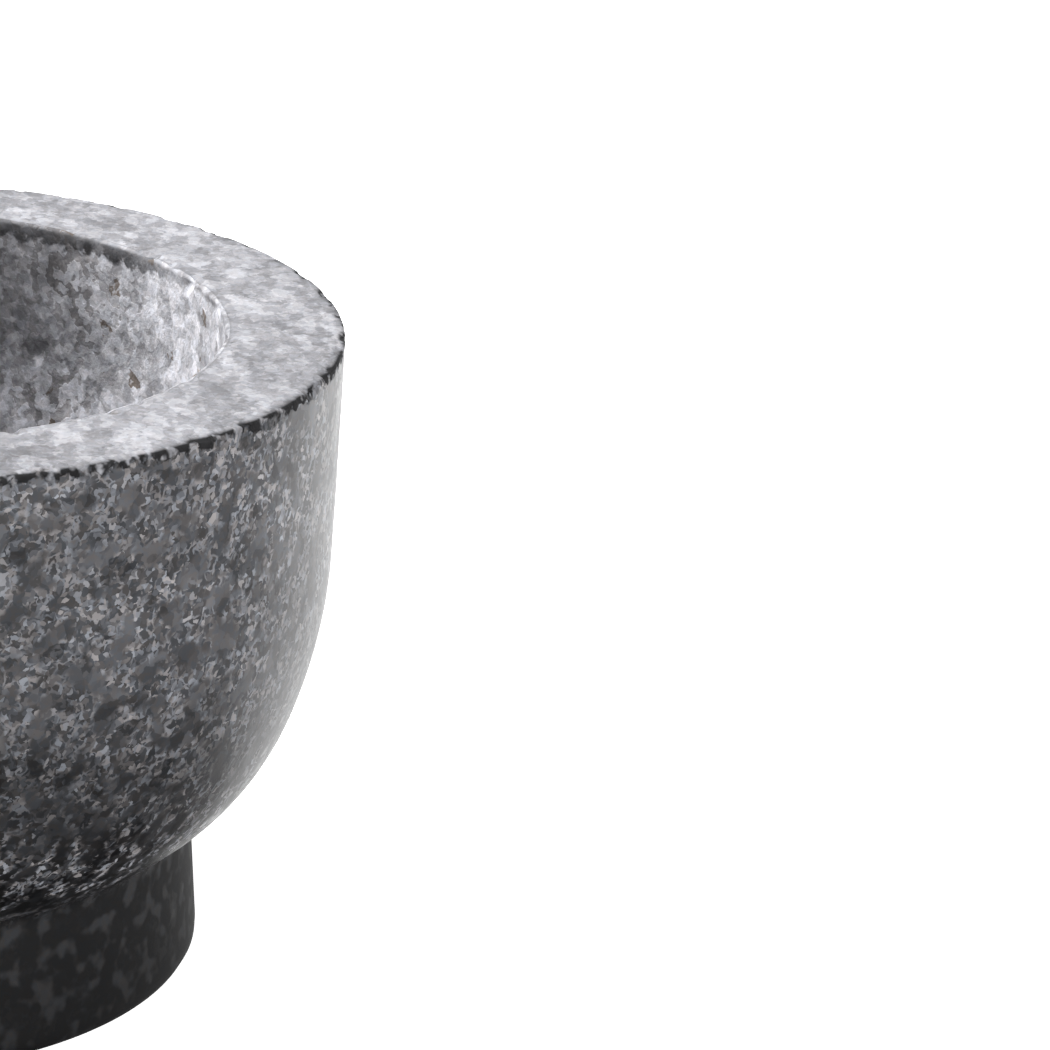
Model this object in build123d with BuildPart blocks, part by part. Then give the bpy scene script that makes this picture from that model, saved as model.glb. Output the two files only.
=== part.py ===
"""Footed granite molcajete: a mortar carved from one stone, and its loose pestle.

Millimetres, +Z up. The origin is the centre of the foot's flat underside.
"""

from build123d import *
from math import asin, atan2, cos, degrees, hypot, radians, sin
import os

# Mortar, outside
rim_radius = 80.0
height = 106.3
rim_edge_round = 0.8
wall_radius = 79.2  # at the foot of the straight upper wall, which leans in a little
wall_drop = 35.0  # height of the straight upper wall
shoulder_radius = 81.5  # the wall then turns under in two tangent arcs
shoulder_sweep = 19.7  # degrees
neck_radius = 57.3  # where the belly meets the foot
neck_height = 24.1
neck_round = 4.0  # the hollow round where the foot grows out of the belly
foot_radius = 59.0
foot_round = 3.0

# Mortar, inside: a straight upper wall over a round bottom
bowl_radius = 60.6
floor_thickness = 30.0
lip_round = 0.8

# Pestle, with heights measured along its axis from the centre of its round head
pestle_length = 150.0
head_radius = 23.0
waist_radius = 14.8
waist_height = 78.0
top_radius = 18.5
dome_height = 12.0
dome_round = 5.0

# The pestle stands in the round bottom and leans on the lip
head_gap = 0.3
lip_gap = 0.5
head_offset = 8.0  # degrees that the head sits up the round bottom, away from the lean
lean_direction = 225.0  # degrees from +X towards +Y

os.makedirs("parts", exist_ok=True)


# ---------------------------------------------------------------- mortar
with BuildPart() as mortar:
    with BuildSketch(Plane.XZ):
        with BuildLine():
            rim = Line((bowl_radius, height), (rim_radius, height))
            wall = Line(rim @ 1, (wall_radius, height - wall_drop))
            shoulder = JernArc(wall @ 1, wall % 1, shoulder_radius, -shoulder_sweep)
            belly = TangentArc(shoulder @ 1, (neck_radius, neck_height), tangent=shoulder % 1)
            foot = Line(belly @ 1, (foot_radius, 0))
            underside = Line(foot @ 1, (0, 0))
            core = Line(underside @ 1, (0, floor_thickness))
            bottom = CenterArc((0, floor_thickness + bowl_radius), bowl_radius, -90, 90)
            inner_wall = Line(bottom @ 1, rim @ 0)
        make_face()
    revolve(axis=Axis.Z)

    for radius, round_over in (
        (bowl_radius, lip_round),
        (rim_radius, rim_edge_round),
        (neck_radius, neck_round),
        (foot_radius, foot_round),
    ):
        rings = mortar.edges().filter_by(GeomType.CIRCLE)
        ring = rings.filter_by(lambda edge: abs(edge.radius - radius) < 0.01)
        fillet(ring.sort_by(Axis.Z)[-1], round_over)


# ---------------------------------------------------------------- pestle
# In the upright plane of the lean, the head's centre sits on an arc about the centre of the
# round bottom, a little to the far side, and the waist passes just clear of the lip's round.
head_swing = bowl_radius - head_radius - head_gap
head_x = head_swing * sin(radians(head_offset))
head_z = floor_thickness + bowl_radius - head_swing * cos(radians(head_offset))
lip_dx = head_x + bowl_radius + lip_round
lip_dz = height - lip_round - head_z
waist_to_lip = waist_radius + lip_gap + lip_round
lean = atan2(lip_dx, lip_dz) - asin(waist_to_lip / hypot(lip_dx, lip_dz))

lean_side = Vector(1, 0, 0).rotate(Axis.Z, lean_direction)
across = lean_side.cross(Vector(0, 0, 1))
pestle_direction = lean_side * sin(lean) + Vector(0, 0, cos(lean))
head_centre = Vector(0, 0, head_z) - lean_side * head_x
pestle_plane = Plane(origin=head_centre, x_dir=across, z_dir=across.cross(pestle_direction))

# The head runs into the waist along one large hollow arc, tangent to the head and upright at
# the waist.
top_height = pestle_length - head_radius
taper_radius = (waist_radius**2 + waist_height**2 - head_radius**2) / (2 * (head_radius - waist_radius))
head_wrap = degrees(atan2(waist_height, waist_radius + taper_radius))

with BuildPart() as pestle:
    with BuildSketch(pestle_plane):
        with BuildLine():
            head = CenterArc((0, 0), head_radius, -90, 90 + head_wrap)
            taper = TangentArc(head @ 1, (waist_radius, waist_height), tangent=head % 1)
            flare = TangentArc(taper @ 1, (top_radius, top_height - dome_height), tangent=taper % 1)
            dome = TangentArc((0, top_height), flare @ 1, tangent=(1, 0))
            core = Line(dome @ 0, head @ 0)
        make_face()
    revolve(axis=Axis(pestle_plane.origin, pestle_plane.y_dir))
    rings = pestle.edges().filter_by(GeomType.CIRCLE)
    fillet(rings.filter_by(lambda edge: abs(edge.radius - top_radius) < 0.01), dome_round)


for name, piece in (("mortar", mortar), ("pestle", pestle)):
    piece.part.label = name
    export_step(piece.part, f"parts/{name}.step")
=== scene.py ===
"""Looks of the footed granite molcajete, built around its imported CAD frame.

Both stones are dense turned meshes whose points are pushed into the stone, so the rim is
chipped, the bowl is pitted and the wall is slightly uneven. Metres, +Z up, and the origin is
the centre of the foot's underside.
"""

from math import asin, atan2, cos, hypot, pi, radians, sin, tan

import bpy
import numpy as np
from mathutils import Matrix, Vector, noise
from mathutils.geometry import intersect_sphere_sphere_2d


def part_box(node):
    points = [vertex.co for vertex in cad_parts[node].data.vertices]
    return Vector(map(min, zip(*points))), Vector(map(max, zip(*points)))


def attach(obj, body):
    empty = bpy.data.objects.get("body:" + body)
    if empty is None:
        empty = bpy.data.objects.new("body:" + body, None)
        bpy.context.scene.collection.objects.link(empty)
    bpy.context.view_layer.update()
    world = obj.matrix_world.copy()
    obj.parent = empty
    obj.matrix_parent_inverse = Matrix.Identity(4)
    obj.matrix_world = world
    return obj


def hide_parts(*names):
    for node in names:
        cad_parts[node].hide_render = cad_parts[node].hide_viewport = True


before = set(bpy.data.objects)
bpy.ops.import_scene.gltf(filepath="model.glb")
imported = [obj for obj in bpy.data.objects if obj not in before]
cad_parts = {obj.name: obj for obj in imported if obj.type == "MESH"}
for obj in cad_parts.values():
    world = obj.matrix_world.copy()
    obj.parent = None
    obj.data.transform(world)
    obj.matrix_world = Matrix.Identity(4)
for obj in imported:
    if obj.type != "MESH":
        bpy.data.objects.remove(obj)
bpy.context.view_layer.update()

MM = 0.001

# Mortar, as in the CAD model
RIM_RADIUS = 80.0 * MM
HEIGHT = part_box("mortar")[1].z
RIM_EDGE_ROUND = 0.8 * MM
WALL_RADIUS = 79.2 * MM
WALL_DROP = 35.0 * MM
SHOULDER_RADIUS = 81.5 * MM
SHOULDER_SWEEP = radians(19.7)
NECK_RADIUS = 57.3 * MM
NECK_HEIGHT = 24.1 * MM
NECK_ROUND_REACH = 2.2 * MM
FOOT_RADIUS = 59.0 * MM
FOOT_ROUND = 3.0 * MM
BOWL_RADIUS = 60.6 * MM
FLOOR_THICKNESS = 30.0 * MM
LIP_ROUND = 0.8 * MM

# Pestle, as in the CAD model
PESTLE_LENGTH = 150.0 * MM
HEAD_RADIUS = 23.0 * MM
WAIST_RADIUS = 14.8 * MM
WAIST_HEIGHT = 78.0 * MM
TOP_RADIUS = 18.5 * MM
DOME_HEIGHT = 12.0 * MM
DOME_ROUND = 5.0 * MM
HEAD_GAP = 0.3 * MM
LIP_GAP = 0.5 * MM
HEAD_OFFSET = radians(8.0)
LEAN_DIRECTION = radians(225.0)

# How finely the stones are turned; a piece of over about 200,000 triangles is thinned on export
MORTAR_COLUMNS = 480
PESTLE_COLUMNS = 256
PESTLE_SPACING = 0.9 * MM

# Granite, in millimetres where it is a length
SMALL_GRAIN, MEDIUM_GRAIN, LARGE_GRAIN = 0.85, 2.4, 4.6
GRAIN_DRIFT = 2.3  # how far noise pushes the grains' outlines
COOL_BLUE = 1.065  # blue against red and green in the stone's grey
BLACK_MINERAL = 0.008
PALEST_POWDER = 0.74
PAINTED_LIGHT_SIDE = (0.97, -0.26, 0.0)  # painted light: the bowl's colour is painted paler on this side, where the light falls inside it
TOP, NECK = HEIGHT / MM, NECK_HEIGHT / MM  # heights of the rim and of the neck
BUMP_DEPTH = 0.25 * MM
OBJECT_COORDINATES = 3  # output of a Texture Coordinate node


# ---------------------------------------------------------------- outlines
class Outline:
    """A path of lines and tangent arcs in (radius, height), kept as closely spaced points."""

    STEP = 0.1 * MM

    def __init__(self, start, direction):
        self.points = [Vector(start)]
        self.direction = Vector(direction).normalized()

    def line(self, end):
        start, end = self.points[-1], Vector(end)
        count = max(1, round((end - start).length / self.STEP))
        self.points += [start.lerp(end, k / count) for k in range(1, count + 1)]
        self.direction = (end - start).normalized()

    def turn(self, radius, sweep):
        """A tangent arc; a positive sweep turns left."""
        start = self.points[-1]
        side = 1 if sweep > 0 else -1
        centre = start + Vector((-self.direction.y, self.direction.x)) * side * radius
        count = max(4, round(radius * abs(sweep) / self.STEP))
        for k in range(1, count + 1):
            spoke = Matrix.Rotation(sweep * k / count, 2) @ (start - centre)
            self.points.append(centre + spoke)
        self.direction = Matrix.Rotation(sweep, 2) @ self.direction

    def arc_to(self, end):
        """The tangent arc that ends at a point."""
        chord = Vector(end) - self.points[-1]
        across = self.direction.x * chord.y - self.direction.y * chord.x
        half = atan2(across, self.direction.dot(chord))
        self.turn(chord.length / (2 * abs(sin(half))), 2 * half)

    def rounded(self, point, after, radius):
        """A line towards a corner, and the round that turns it towards the point after."""
        point, after = Vector(point), Vector(after)
        into = (point - self.points[-1]).normalized()
        out = (after - point).normalized()
        sweep = atan2(into.x * out.y - into.y * out.x, into.dot(out))
        self.line(point - into * radius * tan(abs(sweep) / 2))
        self.direction = into
        self.turn(radius, sweep)

    def soften(self, corner, reach):
        """Rounds a corner already drawn, from this distance before it to this distance after."""
        corner = Vector(corner)
        near = [k for k, point in enumerate(self.points) if (point - corner).length < reach]
        start, end = self.points[near[0]], self.points[near[-1]]
        shares = np.linspace(0, 1, len(near))
        curve = [start.lerp(corner, t).lerp(corner.lerp(end, t), t) for t in shares]
        self.points[near[0] : near[-1] + 1] = curve

    def rings(self, spacing):
        """Points along the path at the spacing asked for at each place, ends included."""
        path = np.array(self.points)
        middle = (path[1:] + path[:-1]) / 2
        lengths = np.hypot(*(path[1:] - path[:-1]).T)
        wanted = np.array([spacing(r, z) for r, z in middle])
        progress = np.concatenate([[0], np.cumsum(lengths / wanted)])
        count = round(progress[-1])
        at = np.linspace(0, progress[-1], count + 1)
        return np.stack([np.interp(at, progress, path[:, k]) for k in (0, 1)], axis=1)


def mortar_outline():
    """From the centre of the bowl's floor, over the rim, to the centre of the underside."""
    lip, rim = (BOWL_RADIUS, HEIGHT), (RIM_RADIUS, HEIGHT)
    wall_end = (WALL_RADIUS, HEIGHT - WALL_DROP)
    path = Outline((0, FLOOR_THICKNESS), (1, 0))
    path.turn(BOWL_RADIUS, pi / 2)
    path.rounded(lip, rim, LIP_ROUND)
    path.rounded(rim, wall_end, RIM_EDGE_ROUND)
    path.line(wall_end)
    path.turn(SHOULDER_RADIUS, -SHOULDER_SWEEP)
    path.arc_to((NECK_RADIUS, NECK_HEIGHT))
    path.rounded((FOOT_RADIUS, 0), (0, 0), FOOT_ROUND)
    path.line((0, 0))
    path.soften((NECK_RADIUS, NECK_HEIGHT), NECK_ROUND_REACH)
    return path


def mortar_spacing(r, z):
    """Close rings at the edges that chip, wide ones where little is seen."""
    from_rim = hypot(r - RIM_RADIUS, z - HEIGHT)
    from_lip = hypot(r - BOWL_RADIUS, z - HEIGHT)
    from_neck = hypot(r - NECK_RADIUS, z - NECK_HEIGHT)
    if from_rim < 2.5 * MM:
        return 0.3 * MM
    if from_lip < 4.5 * MM:
        return 0.5 * MM
    on_top, underneath = z > HEIGHT - 0.5 * MM, z < 0.5 * MM
    if on_top:
        return 0.8 * MM
    if underneath:
        return 5.0 * MM
    if from_neck < 3.0 * MM:
        return 0.6 * MM
    if r <= BOWL_RADIUS and z > FLOOR_THICKNESS:
        return (1.1 if z > HEIGHT / 2 else 2.4) * MM
    return 1.5 * MM


def pestle_outline():
    """(radius, distance along the axis) from the head's tip to the top."""
    top = PESTLE_LENGTH - HEAD_RADIUS
    room = HEAD_RADIUS - WAIST_RADIUS
    taper_radius = (WAIST_RADIUS**2 + WAIST_HEIGHT**2 - HEAD_RADIUS**2) / (2 * room)
    head_wrap = atan2(WAIST_HEIGHT, WAIST_RADIUS + taper_radius)
    path = Outline((0, -HEAD_RADIUS), (1, 0))
    path.turn(HEAD_RADIUS, pi / 2 + head_wrap)
    path.arc_to((WAIST_RADIUS, WAIST_HEIGHT))

    # the flare and the dome are arcs, and a round joins them
    rise, widening = top - DOME_HEIGHT - WAIST_HEIGHT, TOP_RADIUS - WAIST_RADIUS
    flare_radius = (rise**2 + widening**2) / (2 * widening)
    flare_centre = Vector((WAIST_RADIUS + flare_radius, WAIST_HEIGHT))
    dome_radius = (TOP_RADIUS**2 + DOME_HEIGHT**2) / (2 * DOME_HEIGHT)
    dome_centre = Vector((0, top - dome_radius))
    round_centre = max(
        intersect_sphere_sphere_2d(
            flare_centre, flare_radius + DOME_ROUND, dome_centre, dome_radius - DOME_ROUND
        ),
        key=lambda point: point.y,
    )
    path.arc_to(flare_centre + (round_centre - flare_centre).normalized() * flare_radius)
    path.arc_to(dome_centre + (round_centre - dome_centre).normalized() * dome_radius)
    path.arc_to((0, top))
    return path


# ---------------------------------------------------------------- turned meshes
def turned_stone(name, rings, columns, depth, place=Matrix.Identity(4)):
    """Turns an outline about +Z, sinks each point by depth(point, r, z), then places it.

    The outline runs with the stone on its right-hand side.
    """
    tangent = np.gradient(rings, axis=0)
    tangent /= np.linalg.norm(tangent, axis=1)[:, None]
    angles = np.arange(columns) * 2 * pi / columns
    around = np.stack([np.cos(angles), np.sin(angles)], axis=1)

    verts = [(0, 0, rings[0][1])]
    for (r, z), (dr, dz) in zip(rings[1:-1], tangent[1:-1]):
        for c, s in around:
            point = Vector((r * c, r * s, z))
            outward = Vector((-dz * c, -dz * s, dr))
            verts.append(point - outward * depth(point, r, z))
    verts.append((0, 0, rings[-1][1]))

    last = len(verts) - 1
    row = np.arange(columns)
    after = (row + 1) % columns
    faces = [(0, 1 + a, 1 + b) for a, b in zip(row, after)]
    for k in range(len(rings) - 3):
        low, high = 1 + k * columns, 1 + (k + 1) * columns
        faces += [(low + a, high + a, high + b, low + b) for a, b in zip(row, after)]
    start = 1 + (len(rings) - 3) * columns
    faces += [(start + b, start + a, last) for a, b in zip(row, after)]

    mesh = bpy.data.meshes.new(name)
    mesh.from_pydata(verts, [], [tuple(int(i) for i in face) for face in faces])
    mesh.transform(place)
    mesh.shade_smooth()
    mesh.update()
    stone = bpy.data.objects.new(name, mesh)
    bpy.context.scene.collection.objects.link(stone)
    return stone


def ramp(value, low, high):
    """0 below low, 1 above high, smooth between; low may be above high."""
    t = min(1.0, max(0.0, (value - low) / (high - low)))
    return t * t * (3 - 2 * t)


def bumps(point, size, seed):
    """Perlin noise from -1 to 1 with features of about this size."""
    return noise.noise(point / size + Vector((seed * 7.3, seed * 3.1, seed * 5.7)))


def hollows(point, size, seed):
    """The same noise, from 0 to 1."""
    return 0.5 + 0.5 * bumps(point, size, seed)


def mortar_depth(point, r, z):
    """How far a point of the mortar lies inside the CAD surface; nowhere is it outside."""
    if z < FOOT_ROUND and r < FOOT_RADIUS - FOOT_ROUND:
        return 0.0
    from_rim = hypot(r - RIM_RADIUS, z - HEIGHT)
    from_lip = hypot(r - BOWL_RADIUS, z - HEIGHT)
    grain = hollows(point, 1.8 * MM, 1)
    lumps = hollows(point, 4.5 * MM, 2)
    broad = hollows(point, 14 * MM, 3)

    # the outer edge of the rim is chipped, and the lip is crumbled
    chip = ramp(0.55 * bumps(point, 2.2 * MM, 4) + 0.6 * bumps(point, 5 * MM, 5), -0.05, 0.5)
    rim_chip = (0.12 + 0.75 * chip) * ramp(from_rim, 2.0 * MM, 0.2 * MM) * MM
    lip_break = ramp(0.6 * bumps(point, 2.6 * MM, 6) + 0.5 * bumps(point, 7 * MM, 7), 0.0, 0.5)
    lip_chip = 0.6 * lip_break * ramp(from_lip, 4.0 * MM, 1.0 * MM) * MM

    in_bowl = r < BOWL_RADIUS + 0.1 * MM and z > FLOOR_THICKNESS
    on_rim = z > HEIGHT - 1.0 * MM
    if in_bowl:
        pits = ramp(bumps(point, 2.4 * MM, 8), 0.15, 0.55)
        rough = (0.08 * grain + 0.12 * lumps + 0.3 * pits) * MM
    elif on_rim:
        rough = (0.05 * grain + 0.07 * lumps) * MM
    elif z > NECK_HEIGHT:
        rough = (0.05 * grain + 0.08 * lumps + 0.15 * broad) * MM
    else:
        rough = 0.06 * broad * MM
    return rough + rim_chip + lip_chip


def pestle_depth(point, r, s):
    """How far a point of the pestle lies inside the CAD surface: rough at the head's tip."""
    wear_and_painted_light = ramp(s, 0.0, -HEAD_RADIUS)
    pits = ramp(bumps(point, 2.4 * MM, 12), 0.2, 0.6)
    grain = hollows(point, 1.8 * MM, 10)
    broad = hollows(point, 12 * MM, 11)
    return (0.05 * grain + 0.12 * broad + wear_and_painted_light * (0.1 * grain + 0.3 * pits)) * MM


def pestle_place():
    """The pestle's own frame: its head on the bowl's round bottom, its waist at the lip."""
    swing = BOWL_RADIUS - HEAD_RADIUS - HEAD_GAP
    head_x = swing * sin(HEAD_OFFSET)
    head_z = FLOOR_THICKNESS + BOWL_RADIUS - swing * cos(HEAD_OFFSET)
    lip_dx = head_x + BOWL_RADIUS + LIP_ROUND
    lip_dz = HEIGHT - LIP_ROUND - head_z
    waist_to_lip = WAIST_RADIUS + LIP_GAP + LIP_ROUND
    lean = atan2(lip_dx, lip_dz) - asin(waist_to_lip / hypot(lip_dx, lip_dz))
    away = Matrix.Rotation(LEAN_DIRECTION, 4, "Z")
    return away @ Matrix.Translation((-head_x, 0, head_z)) @ Matrix.Rotation(lean, 4, "Y")


# ---------------------------------------------------------------- materials
class Shader:
    """A node material with short calls for the nodes that it uses."""

    def __init__(self, name):
        self.material = bpy.data.materials.new(name)
        self.material.use_nodes = True
        self.tree = self.material.node_tree
        self.surface = self.tree.nodes["Principled BSDF"]

    def node(self, kind, output=0, settings=None, **inputs):
        """A new node with its inputs set to values or linked; gives one of its outputs.

        Inputs go by name, or as i0, i1 and so on by their place.
        """
        new = self.tree.nodes.new(kind)
        for key, value in (settings or {}).items():
            setattr(new, key, value)
        for key, value in inputs.items():
            place = int(key[1:]) if key[1:].isdigit() else key
            self.feed(new.inputs[place], value)
        return new.outputs[output]

    def feed(self, socket, value):
        if isinstance(value, bpy.types.NodeSocket):
            self.tree.links.new(value, socket)
        else:
            socket.default_value = value

    def set_surface(self, name, value):
        self.feed(self.surface.inputs[name], value)

    def math(self, operation, a, b=0.0):
        return self.node("ShaderNodeMath", settings={"operation": operation}, i0=a, i1=b)

    def product(self, first, *others):
        for other in others:
            first = self.math("MULTIPLY", first, other)
        return first

    def vector(self, operation, a, b=(0.0, 0.0, 0.0)):
        """Vector maths. LENGTH and DOT_PRODUCT give a number."""
        output = 1 if operation in ("LENGTH", "DOT_PRODUCT") else 0
        settings = {"operation": operation}
        return self.node("ShaderNodeVectorMath", output, settings=settings, i0=a, i1=b)

    def parts(self, vector):
        """The x, y and z of a vector, or the three numbers of a colour."""
        return [self.node("ShaderNodeSeparateXYZ", k, i0=vector) for k in range(3)]

    def ramp(self, value, low, high, to_low=0.0, to_high=1.0):
        """Moves smoothly from to_low at low to to_high at high; low may be above high."""
        settings = {"interpolation_type": "SMOOTHSTEP"}
        numbers = {"i0": value, "i1": low, "i2": high, "i3": to_low, "i4": to_high}
        return self.node("ShaderNodeMapRange", settings=settings, **numbers)

    def noise(self, where, size, detail=2.0, roughness=0.5, output=0):
        """Noise with features of about this size in millimetres; output 1 is a colour."""
        return self.node(
            "ShaderNodeTexNoise",
            output,
            Vector=where,
            Scale=1 / size,
            Detail=detail,
            Roughness=roughness,
        )

    def cells(self, where, size):
        """Three random numbers for each cell of about this size in millimetres."""
        return self.parts(self.node("ShaderNodeTexVoronoi", 1, Vector=where, Scale=1 / size))

    def from_edge(self, where, size):
        """Distance, as a share of the size, from the edges between the cells."""
        settings = {"feature": "DISTANCE_TO_EDGE"}
        return self.node("ShaderNodeTexVoronoi", settings=settings, Vector=where, Scale=1 / size)

    def blend(self, share, a, b):
        """The number a moved towards b by a share from 0 to 1."""
        return self.node("ShaderNodeMix", i0=share, i2=a, i3=b)

    def bump(self, height, strength):
        """Tilts the surface's shading by a height from about -1 to 1."""
        bump = self.node("ShaderNodeBump", Height=height, Strength=strength, Distance=BUMP_DEPTH)
        self.set_surface("Normal", bump)


class Granite(Shader):
    """Interlocking crystals of one grey granite, in millimetres of the object's own frame.

    Flat dark patches lie in a finer mixture of pale, grey and black grains.
    """

    def __init__(self, name):
        super().__init__(name)
        coords = self.node("ShaderNodeTexCoord", OBJECT_COORDINATES)
        self.where = self.vector("MULTIPLY", coords, (1 / MM, 1 / MM, 1 / MM))
        drift = self.noise(self.where, 1.7, output=1)
        drift = self.vector("SUBTRACT", drift, (0.5, 0.5, 0.5))
        drift = self.vector("MULTIPLY", drift, (GRAIN_DRIFT, GRAIN_DRIFT, GRAIN_DRIFT))
        self.ragged = self.vector("ADD", self.where, drift)
        self.small = self.cells(self.ragged, SMALL_GRAIN)
        self.medium = self.cells(self.ragged, MEDIUM_GRAIN)
        self.large = self.cells(self.ragged, LARGE_GRAIN)

    def crystals(self):
        """Brightness of the honed stone, and its shares of pale and of black grains."""
        mixture = self.ramp(self.noise(self.where, LARGE_GRAIN, 2.5), 0.39, 0.53)
        patch_tone = self.product(
            self.ramp(self.large[0], 0.0, 1.0, 0.075, 0.145),
            self.ramp(self.medium[2], 0.0, 1.0, 0.80, 1.20),
        )
        pale = self.math("POWER", self.small[0], 2.8)
        grain_tone = self.math("ADD", self.product(pale, 0.34), 0.075)
        tone = self.blend(mixture, patch_tone, grain_tone)

        # pale minerals also branch along the edges between grains
        branch = self.product(
            self.ramp(self.from_edge(self.ragged, 2.1), 0.12, 0.04),
            self.ramp(self.noise(self.where, 2.6, 1.0), 0.48, 0.60),
            mixture,
        )
        tone = self.blend(self.product(branch, 0.75), tone, 0.33)
        pale = self.math("MAXIMUM", self.product(pale, mixture), branch)

        black = self.product(
            self.ramp(self.medium[1], 0.82, 0.90),
            self.ramp(self.noise(self.where, 9.0, 1.0), 0.4, 0.6),
        )
        tone = self.blend(self.product(black, 0.7), tone, 0.035)
        cluster = self.ramp(self.noise(self.where, 13.0), 0.35, 0.65, 0.82, 1.18)
        return self.product(tone, cluster), pale, black

    def tint(self):
        """A little warmth, or below zero coolness, for each grain."""
        return self.ramp(self.small[1], 0.0, 1.0, -0.05, 0.06)

    def paint(self, tone, tint):
        """The base colour: a cool grey, made warmer by the tint."""
        red = self.product(tone, self.math("ADD", tint, 1.0))
        blue = self.product(tone, self.math("SUBTRACT", COOL_BLUE, tint))
        self.set_surface("Base Color", self.node("ShaderNodeCombineXYZ", i0=red, i1=tone, i2=blue))

    def set_roughness(self, roughness, black):
        """Black grains are a little glossier than the others."""
        self.set_surface("Roughness", self.math("ADD", roughness, self.product(black, -0.08)))

    def relief(self, pale, black):
        """Height of the crystals: pale ones stand out and black ones are sunk."""
        return self.math("SUBTRACT", self.product(pale, 0.4), black)

    def fine_grain(self):
        return self.noise(self.where, 0.7, 3.0, 0.6)


class MortarGranite(Granite):
    """Honed dark wall, ground pale rim and bowl, almost black foot."""

    def __init__(self):
        super().__init__("mortar_granite")
        x, y, self.z = self.parts(self.where)
        self.r = self.vector("LENGTH", self.node("ShaderNodeCombineXYZ", i0=x, i1=y, i2=0.0))
        self.towards = self.vector("DOT_PRODUCT", self.where, PAINTED_LIGHT_SIDE)

        # where each finish is; heights are ragged, like the chips
        ragged_by = self.ramp(self.noise(self.where, 1.7), 0.3, 0.7, -0.9, 0.9)
        self.z_ragged = self.math("ADD", self.z, ragged_by)
        on_rim = self.ramp(self.z_ragged, TOP - 1.5, TOP - 0.7)
        self.in_bowl = self.product(
            self.math("LESS_THAN", self.r, (BOWL_RADIUS + LIP_ROUND) / MM),
            self.math("GREATER_THAN", self.z, FLOOR_THICKNESS / MM - 1.5),
        )
        self.ground = self.math("MAXIMUM", on_rim, self.in_bowl)
        self.foot = self.ramp(self.z_ragged, NECK + 3.0, NECK - 1.5)

        # where painted light makes the bowl paler: on one side, and lower down all round
        self.wear_and_painted_light = self.ramp(self.towards, -2.0, 48.0)
        self.low = self.ramp(self.z_ragged, TOP - 11.0, TOP - 31.0)

        self.tone, self.pale, self.black = self.crystals()
        self.belly()
        self.ground_stone()
        self.dark_foot()
        self.broken_edge()
        self.finish()

    def belly(self):
        """Painted shade darkens the belly towards the neck, all but its pale grains, and black
        patches are added.
        """
        # the pale grains that the belly's painted shade spares, all but gone at the crease
        spared_pale = self.product(
            self.pale,
            self.ramp(self.z, NECK + 9.0, NECK + 26.0, 1.3, 0.1),
            self.ramp(self.z_ragged, NECK, NECK + 5.0, 0.1, 1.0),
        )
        above = self.ramp(self.z, NECK + 6.0, NECK + 58.0)
        # painted shade: the belly darkens towards the neck
        painted_belly_shade = self.blend(above, self.math("ADD", spared_pale, 0.21), 1.0)
        black_patch = self.product(
            self.ramp(self.noise(self.ragged, 4.2, 1.0), 0.54, 0.58),
            self.ramp(self.z, NECK + 26.0, NECK + 7.0),
            0.8,
        )
        self.tone = self.blend(black_patch, self.product(self.tone, painted_belly_shade), BLACK_MINERAL)

    def ground_stone(self):
        """Rim and bowl are ground pale with powder, and the bowl has marks of its own and painted
        light and shade.
        """
        # the grinding left soft streaks across the rim
        along = self.vector("MULTIPLY", self.ragged, (1.0, 0.45, 1.0))
        powder = self.product(
            self.ramp(self.medium[0], 0.0, 1.0, 0.86, 1.10),
            self.ramp(self.small[2], 0.0, 1.0, 0.90, 1.08),
            self.ramp(self.large[0], 0.0, 1.0, 0.295, 0.435),
            self.ramp(self.noise(along, 2.2, 2.5), 0.455, 0.545, 0.76, 1.06),
        )
        ground_tone = self.blend(0.80, self.tone, powder)
        # the bowl's mottle, which carries painted light and shade
        ground_tone = self.product(ground_tone, self.blend(self.in_bowl, 1.0, self.mottle()))
        self.pits = self.bowl_pits()
        ground_tone = self.blend(self.product(self.pits, 0.93), ground_tone, 0.02)
        # painted shade just under the lip
        ground_tone = self.blend(self.painted_shade_under_lip(), ground_tone, 0.03)
        self.rust = self.rust_spots()
        ground_tone = self.blend(self.product(self.rust, 0.75), ground_tone, 0.055)
        # painted shade on the lip's round, dimming its highlight
        ground_tone = self.blend(self.painted_lip_shade(), ground_tone, 0.14)
        ground_tone = self.math("MINIMUM", ground_tone, PALEST_POWDER)
        self.tone = self.blend(self.ground, self.tone, ground_tone)

    def mottle(self):
        """The bowl's mottle, with painted light and shade: paler and less mottled on the side the
        light falls on, paler lower down, darker high up on the far side, and darker towards the
        floor.
        """
        mottle = self.ramp(self.noise(self.ragged, 2.6, 2.5), 0.40, 0.60, 0.64, 1.16)
        mottle = self.blend(self.product(self.wear_and_painted_light, 0.7), mottle, 0.98)
        # painted light and shade: paler on the lit side and lower down, darker high up on the far
        # side
        painted_light_and_shade = self.math(
            "MAXIMUM", self.blend(self.wear_and_painted_light, 0.42, 1.85), self.blend(self.low, 0.1, 2.1)
        )
        return self.product(mottle, painted_light_and_shade, self.ramp(self.z, TOP - 62.0, TOP - 34.0, 0.5, 1.0))

    def bowl_pits(self):
        """Dark pits in clusters, fewer of them where painted light makes the bowl paler."""
        # painted light: the pits thin out on the lit side and lower down
        damping = self.math("MAXIMUM", self.wear_and_painted_light, self.product(self.low, 0.6))
        fewer = self.product(
            self.ramp(self.noise(self.where, 16.0, 1.0), 0.38, 0.62, 0.4, 1.0),
            self.blend(damping, 1.0, 0.25),
        )
        pits = self.ramp(self.noise(self.ragged, 2.2, 1.0), 0.50, 0.55)
        return self.product(pits, fewer, self.in_bowl)

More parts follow.
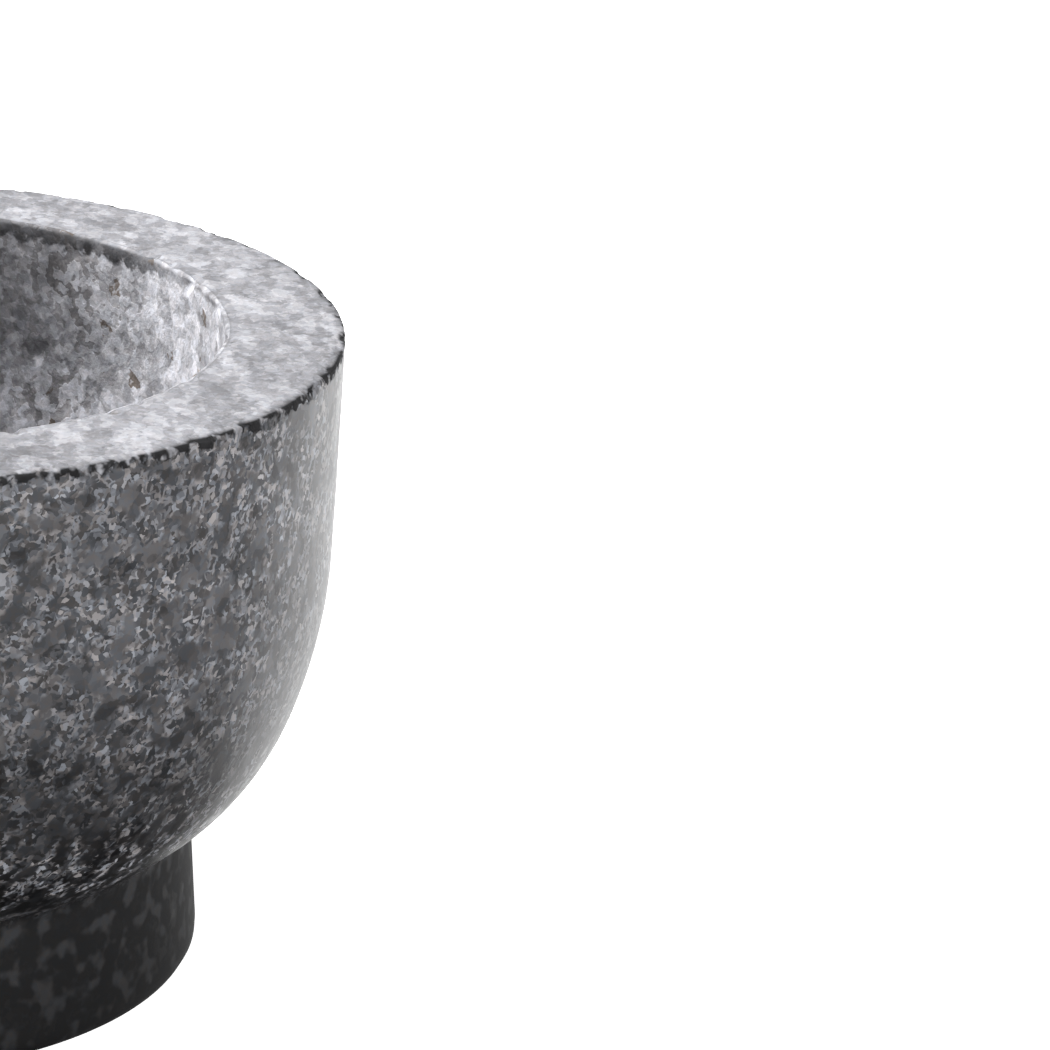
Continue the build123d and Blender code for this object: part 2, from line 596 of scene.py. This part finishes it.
    def painted_shade_under_lip(self):
        """Painted shade: a dark band just under the lip, which fades out on the side painted
        paler.
        """
        return self.product(
            self.ramp(self.z_ragged, TOP - 3.4, TOP - 2.3),
            self.in_bowl,
            self.ramp(self.z, TOP - 0.1, TOP - 0.7),
            self.ramp(self.towards, 52.0, 34.0, 0.0, 0.9),
            self.ramp(self.noise(self.ragged, 1.8), 0.32, 0.55, 0.75, 1.0),
        )

    def rust_spots(self):
        """A few brown grains in the bowl."""
        return self.product(
            self.math("LESS_THAN", self.medium[2], 0.03),
            self.in_bowl,
            self.ramp(self.noise(self.ragged, 1.6, 1.0), 0.44, 0.52),
        )

    def painted_lip_shade(self):
        """Painted shade along the lip's round, so it doesn't shine as one pale line."""
        from_lip = self.math("ABSOLUTE", self.math("SUBTRACT", self.r, BOWL_RADIUS / MM + 0.4))
        return self.product(
            self.ramp(from_lip, 0.9, 0.4),
            self.ramp(self.z, TOP - 2.0, TOP - 1.0),
            self.ramp(self.noise(self.where, 3.0), 0.35, 0.6, 0.2, 0.6),
        )

    def dark_foot(self):
        """The foot is dark, with soft sparse blotches."""
        blotch = self.product(
            self.ramp(self.noise(self.where, 3.6, 1.5), 0.50, 0.68, 0.010, 0.034),
            self.ramp(self.z, 1.0, NECK, 0.68, 1.1),
        )
        self.tone = self.blend(self.foot, self.tone, self.blend(0.03, blotch, self.tone))

    def broken_edge(self):
        """Darkens the rim's chipped outer edge in a ragged line."""
        self.edge = self.product(
            self.ramp(self.z_ragged, TOP - 2.0, TOP - 1.1),
            self.ramp(self.z, TOP, TOP - 0.35),
            self.math("GREATER_THAN", self.r, RIM_RADIUS / MM - 3.0),
            self.ramp(self.noise(self.where, 2.4), 0.36, 0.52),
        )
        self.tone = self.blend(self.product(self.edge, 0.95), self.tone, 0.006)

    def finish(self):
        """Colour, gloss and relief from the brightness and the places found above."""
        tint = self.product(self.tint(), self.blend(self.ground, 1.0, 0.3))
        tint = self.math("ADD", tint, self.product(self.pits, 0.05))
        tint = self.math("ADD", tint, self.product(self.rust, 0.16))
        self.paint(self.tone, tint)

        roughness = self.blend(self.ground, 0.40, 0.85)
        roughness = self.blend(self.foot, roughness, 0.85)
        roughness = self.blend(self.edge, roughness, 0.9)
        self.set_roughness(roughness, self.black)
        self.set_surface("Specular IOR Level", 0.25)

        damping = self.blend(self.ground, 1.0, 0.15)
        relief = self.product(self.relief(self.pale, self.black), damping)
        relief = self.math("SUBTRACT", relief, self.pits)
        fine = self.product(self.fine_grain(), self.blend(self.ground, 0.4, 1.2))
        strength = self.blend(self.foot, self.blend(self.ground, 0.2, 0.6), 0.05)
        self.bump(self.math("ADD", relief, fine), strength)


class PestleGranite(Granite):
    """The same granite, honed on the shaft and ground pale at the head's tip."""

    def __init__(self):
        super().__init__("pestle_granite")
        place = pestle_place()
        head, axis = place.translation / MM, place.to_3x3() @ Vector((0, 0, 1))
        along = self.vector("DOT_PRODUCT", self.vector("SUBTRACT", self.where, head), axis)
        ragged_by = self.ramp(self.noise(self.where, 5.0), 0.3, 0.7, -5.0, 5.0)
        ground = self.ramp(self.math("ADD", along, ragged_by), 4.0, -8.0)

        tone, pale, black = self.crystals()
        grain = self.ramp(self.medium[0], 0.0, 1.0, 0.30, 0.50)
        self.paint(self.blend(ground, tone, self.blend(0.75, tone, grain)), self.tint())
        self.set_roughness(self.blend(ground, 0.42, 0.75), black)
        self.set_surface("Specular IOR Level", 0.3)

        fine = self.product(self.fine_grain(), self.blend(ground, 0.5, 2.2))
        relief = self.math("ADD", self.relief(pale, black), fine)
        self.bump(relief, self.blend(ground, 0.25, 0.6))


# ---------------------------------------------------------------- the two stones
mortar = turned_stone(
    "mortar_stone", mortar_outline().rings(mortar_spacing), MORTAR_COLUMNS, mortar_depth
)
mortar.data.materials.append(MortarGranite().material)
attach(mortar, "mortar")
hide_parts("mortar")

pestle = turned_stone(
    "pestle_stone",
    pestle_outline().rings(lambda r, s: PESTLE_SPACING)[::-1],
    PESTLE_COLUMNS,
    pestle_depth,
    pestle_place(),
)
pestle.data.materials.append(PestleGranite().material)
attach(pestle, "pestle")
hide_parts("pestle")


# ---------------------------------------------------------------- floor, light and camera
FLOOR_HALF = 20.0
floor_mesh = bpy.data.meshes.new("floor")
corners = [(x * FLOOR_HALF, y * FLOOR_HALF, 0) for x, y in ((-1, -1), (1, -1), (1, 1), (-1, 1))]
floor_mesh.from_pydata(corners, [], [(0, 1, 2, 3)])
floor = bpy.data.objects.new("floor", floor_mesh)
bpy.context.scene.collection.objects.link(floor)
floor_shader = Shader("floor")
floor_shader.set_surface("Base Color", (0.9, 0.9, 0.9, 1.0))
floor_shader.set_surface("Roughness", 0.9)
floor_shader.set_surface("Emission Color", (1.0, 1.0, 1.0, 1.0))
floor_shader.set_surface("Emission Strength", 0.9)

# the camera sees the white floor, but it neither lights nor shades the stones
floor.visible_diffuse = False
floor.visible_glossy = False
floor.visible_shadow = False
floor_mesh.materials.append(floor_shader.material)


def softbox(name, azimuth, elevation, distance, width, height, power):
    """An area light that faces the bowl. Azimuth is from +X towards +Y, in degrees."""
    light = bpy.data.lights.new(name, "AREA")
    light.shape = "RECTANGLE"
    light.size, light.size_y = width, height
    light.energy = power
    lamp = bpy.data.objects.new(name, light)
    a, e = radians(azimuth), radians(elevation)
    offset = Vector((cos(a) * cos(e), sin(a) * cos(e), sin(e))) * distance
    lamp.location = Vector((0, 0, HEIGHT)) + offset
    lamp.rotation_euler = offset.to_track_quat("Z", "Y").to_euler()
    bpy.context.scene.collection.objects.link(lamp)


softbox("key", azimuth=151, elevation=30, distance=1.3, width=0.5, height=0.5, power=22)
softbox("top", azimuth=150, elevation=68, distance=1.3, width=0.5, height=0.5, power=18)
softbox("kicker", azimuth=60, elevation=-16, distance=1.2, width=1.5, height=1.1, power=12.5)
softbox("front_fill", azimuth=-58, elevation=13, distance=1.3, width=0.9, height=0.3, power=15)

# a weak even sky, which fades out below the horizon
SKY, BELOW, FADE = 0.15, 0.0, 0.25
world = bpy.data.worlds.new("studio")
world.use_nodes = True
tree = world.node_tree
direction = tree.nodes.new("ShaderNodeTexCoord")
split = tree.nodes.new("ShaderNodeSeparateXYZ")
fade = tree.nodes.new("ShaderNodeMapRange")
fade.inputs["From Min"].default_value = -FADE
fade.inputs["From Max"].default_value = 0.0
fade.inputs["To Min"].default_value = BELOW
fade.inputs["To Max"].default_value = SKY
tree.links.new(direction.outputs["Generated"], split.inputs[0])
tree.links.new(split.outputs["Z"], fade.inputs["Value"])
tree.links.new(fade.outputs[0], tree.nodes["Background"].inputs["Strength"])
tree.nodes["Background"].inputs["Color"].default_value = (1, 1, 1, 1)
bpy.context.scene.world = world
bpy.context.scene.view_settings.view_transform = "Standard"

# The camera looks past the right-hand side of the bowl, which stands at the picture's left edge.
CAMERA_DISTANCE = 10 * RIM_RADIUS
CAMERA_ELEVATION = radians(17.51)
CAMERA_YAW = radians(8.28)
CAMERA_PITCH = radians(19.67)
CAMERA_ROLL = radians(3.05)
FOCAL_LENGTH, SENSOR_WIDTH = 171.3, 36  # millimetres
lens = bpy.data.cameras.new("camera")
lens.lens, lens.sensor_width = FOCAL_LENGTH, SENSOR_WIDTH
lens.clip_start, lens.clip_end = 0.05, 60
camera = bpy.data.objects.new("camera", lens)
forward = Vector(
    (
        sin(CAMERA_YAW) * cos(CAMERA_PITCH),
        cos(CAMERA_YAW) * cos(CAMERA_PITCH),
        -sin(CAMERA_PITCH),
    )
)
level_right = forward.cross(Vector((0, 0, 1))).normalized()
level_up = level_right.cross(forward)
right = level_right * cos(CAMERA_ROLL) + level_up * sin(CAMERA_ROLL)
up = right.cross(forward)
turn = Matrix((right, up, -forward)).transposed().to_4x4()
above = CAMERA_DISTANCE * sin(CAMERA_ELEVATION)
behind = CAMERA_DISTANCE * cos(CAMERA_ELEVATION)
camera.matrix_world = Matrix.Translation((0, -behind, HEIGHT + above)) @ turn
bpy.context.scene.collection.objects.link(camera)
bpy.context.scene.camera = camera
